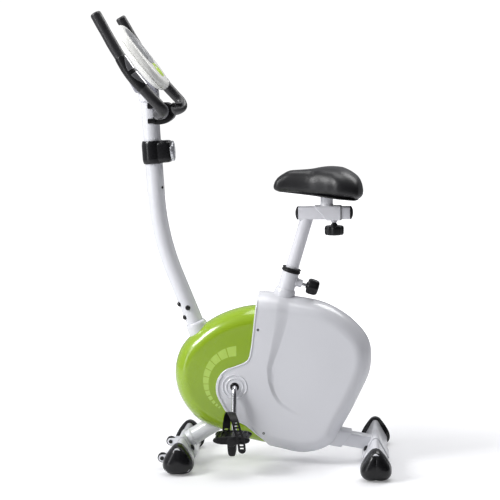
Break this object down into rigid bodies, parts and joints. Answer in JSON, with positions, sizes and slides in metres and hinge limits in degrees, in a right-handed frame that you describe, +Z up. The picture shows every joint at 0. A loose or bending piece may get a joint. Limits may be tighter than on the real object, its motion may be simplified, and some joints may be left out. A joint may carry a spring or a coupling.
{
  "type": "exercise bike",
  "caption": "Upright magnetic exercise bike with a belt drive inside two-tone casings, a sliding saddle on a pinned post and a tilting U handlebar.",
  "frame": {"origin": "on the floor, under the middle of the overall box", "axes": "+Z up, +X from the handlebar towards the rear foot, +Y to the rider's right"},
  "size_m": [0.8146, 0.497, 1.3125],
  "materials": {
    "white_paint": "gloss white powder coat",
    "white_shell": "gloss white moulded ABS",
    "bracket_grey": "light lilac grey moulding",
    "green_shell": "gloss lime green moulded ABS",
    "black_plastic": "semi-gloss black moulding",
    "black_bolt": "black zinc domed bolt head",
    "strap_rubber": "moulded black PVC strap",
    "saddle_vinyl": "black semi-gloss vinyl skin over foam",
    "chrome_crank": "bright chrome plate",
    "bright_steel": "zinc plated steel",
    "cast_iron": "turned grey iron",
    "belt_rubber": "ribbed belt",
    "wheel_rubber": "black hard wheel",
    "black_tube": "satin black powder coat",
    "grip_foam": "closed-cell foam with a satin skin",
    "sensor_steel": "polished pulse contact plates on black",
    "dial_silver": "silver painted dial",
    "cable_black": "black PVC cable jacket",
    "lcd_lens": "grey display behind a clear lens",
    "lime_button": "lime push button"
  },
  "bodies": {
    "bike_body": {"front_stabiliser": "white_paint", "foot_cap_front_left": "black_plastic", "foot_cap_front_right": "black_plastic", "rear_stabiliser": "white_paint", "foot_cap_rear_left": "black_plastic", "foot_cap_rear_right": "black_plastic", "main_frame": "white_paint", "foot_bolt_front_left": "black_bolt", "foot_bolt_front_right": "black_bolt", "foot_bolt_rear_left": "black_bolt", "foot_bolt_rear_right": "black_bolt", "front_casing_left": "green_shell", "rear_casing_left": "white_shell", "front_casing_right": "green_shell", "rear_casing_right": "white_shell", "seat_tube_boot": "white_shell", "post_collar": "white_shell", "rear_leg_shroud": "white_shell", "seat_tube_bush": "black_plastic", "crank_bearing_left": "bright_steel", "crank_bearing_right": "bright_steel", "flywheel_axle": "bright_steel", "drive_belt": "belt_rubber", "handlebar_post": "white_paint", "tension_housing": "black_plastic", "tension_cable": "cable_black", "handlebar_clamp": "black_plastic", "console_back": "white_shell", "console_front": "white_shell", "console_lens": "lcd_lens", "console_bracket": "bracket_grey"},
    "crank_set": {"crank": "chrome_crank", "drive_pulley": "black_plastic", "pedal_spindle_left": "bright_steel", "pedal_spindle_right": "bright_steel"},
    "pedal_left": {"pedal_body_left": "black_plastic", "pedal_strap_left": "strap_rubber"},
    "pedal_right": {"pedal_body_right": "black_plastic", "pedal_strap_right": "strap_rubber"},
    "flywheel_body": {"flywheel": "cast_iron"},
    "magnet": {"magnet_bracket": "bright_steel"},
    "wheel_left": {"transport_wheel_left": "wheel_rubber"},
    "wheel_right": {"transport_wheel_right": "wheel_rubber"},
    "seat_post_body": {"seat_post": "white_paint", "rail_cap_front": "black_plastic", "rail_cap_rear": "black_plastic"},
    "saddle": {"saddle_slider": "white_paint", "saddle_pan": "black_plastic", "saddle_cushion": "saddle_vinyl"},
    "saddle_knob": {"slider_knob": "black_plastic"},
    "pull_pin": {"seat_pin": "bright_steel"},
    "pull_knob": {"seat_height_knob": "black_plastic"},
    "handlebar_body": {"handlebar": "black_tube", "grip_left": "grip_foam", "grip_right": "grip_foam", "pulse_sensor_left": "sensor_steel", "pulse_sensor_right": "sensor_steel"},
    "clamp_handle": {"clamp_t_handle": "black_plastic"},
    "dial": {"tension_dial": "dial_silver"},
    "button": {"mode_button": "lime_button"}
  },
  "joints": [
    {"name": "crank_spin", "type": "hinge", "parent": "bike_body", "child": "crank_set", "pos_m": [-0.04272, 0, 0.237], "axis": [0, 1, 0], "continuous": true},
    {"name": "pedal_left_spin", "type": "hinge", "parent": "crank_set", "child": "pedal_left", "pos_m": [-0.04272, 0, 0.107], "axis": [0, 1, 0], "continuous": true},
    {"name": "pedal_right_spin", "type": "hinge", "parent": "crank_set", "child": "pedal_right", "pos_m": [-0.04272, 0, 0.367], "axis": [0, 1, 0], "continuous": true},
    {"name": "flywheel_spin", "type": "hinge", "parent": "bike_body", "child": "flywheel_body", "pos_m": [0.17724, 0, 0.28], "axis": [0, 1, 0], "continuous": true},
    {"name": "tension_dial_turn", "type": "hinge", "parent": "bike_body", "child": "dial", "pos_m": [-0.27427, 0, 0.91499], "axis": [0.9986, 0, 0.0523], "range_deg": [0, 270]},
    {"name": "magnet_swing", "type": "hinge", "parent": "bike_body", "child": "magnet", "pos_m": [0.15282, -0.014, 0.40565], "axis": [0, -1, 0], "range_deg": [0, 9]},
    {"name": "wheel_left_spin", "type": "hinge", "parent": "bike_body", "child": "wheel_left", "pos_m": [-0.25372, -0.095, 0.034], "axis": [0, 1, 0], "continuous": true},
    {"name": "wheel_right_spin", "type": "hinge", "parent": "bike_body", "child": "wheel_right", "pos_m": [-0.25372, 0.095, 0.034], "axis": [0, 1, 0], "continuous": true},
    {"name": "seat_height", "type": "slide", "parent": "bike_body", "child": "seat_post_body", "axis": [0.2924, 0, 0.9563], "range_m": [-0.09, 0.08]},
    {"name": "seat_slide", "type": "slide", "parent": "seat_post_body", "child": "saddle", "axis": [1, 0, 0], "range_m": [-0.034, 0.024]},
    {"name": "slider_knob_turn", "type": "hinge", "parent": "saddle", "child": "saddle_knob", "pos_m": [0.24728, 0, 0.735], "axis": [0, 0, 1], "range_deg": [0, 360]},
    {"name": "seat_pin_pull", "type": "slide", "parent": "bike_body", "child": "pull_pin", "axis": [0.9563, 0, -0.2924], "range_m": [0, 0.012], "stiffness_N_per_m": 900, "springref_m": -0.002},
    {"name": "seat_knob_turn", "type": "hinge", "parent": "pull_pin", "child": "pull_knob", "pos_m": [0.11326, 0, 0.54005], "axis": [0.9563, 0, -0.2924], "range_deg": [0, 360]},
    {"name": "handlebar_tilt", "type": "hinge", "parent": "bike_body", "child": "handlebar_body", "pos_m": [-0.24272, 0, 1.02799], "axis": [0, 1, 0], "range_deg": [-12, 12]},
    {"name": "clamp_handle_turn", "type": "hinge", "parent": "bike_body", "child": "clamp_handle", "pos_m": [-0.24272, 0, 1.04999], "axis": [1, 0, 0], "range_deg": [0, 360]},
    {"name": "mode_button_press", "type": "slide", "parent": "bike_body", "child": "button", "axis": [-0.7934, 0, -0.6088], "range_m": [0, 0.0015], "stiffness_N_per_m": 900, "springref_m": -0.0003}
  ],
  "couplings": [
    {"joint": "flywheel_spin", "follows": "crank_spin", "ratio": 6.25},
    {"joint": "magnet_swing", "follows": "tension_dial_turn", "ratio": 0.033333}
  ]
}
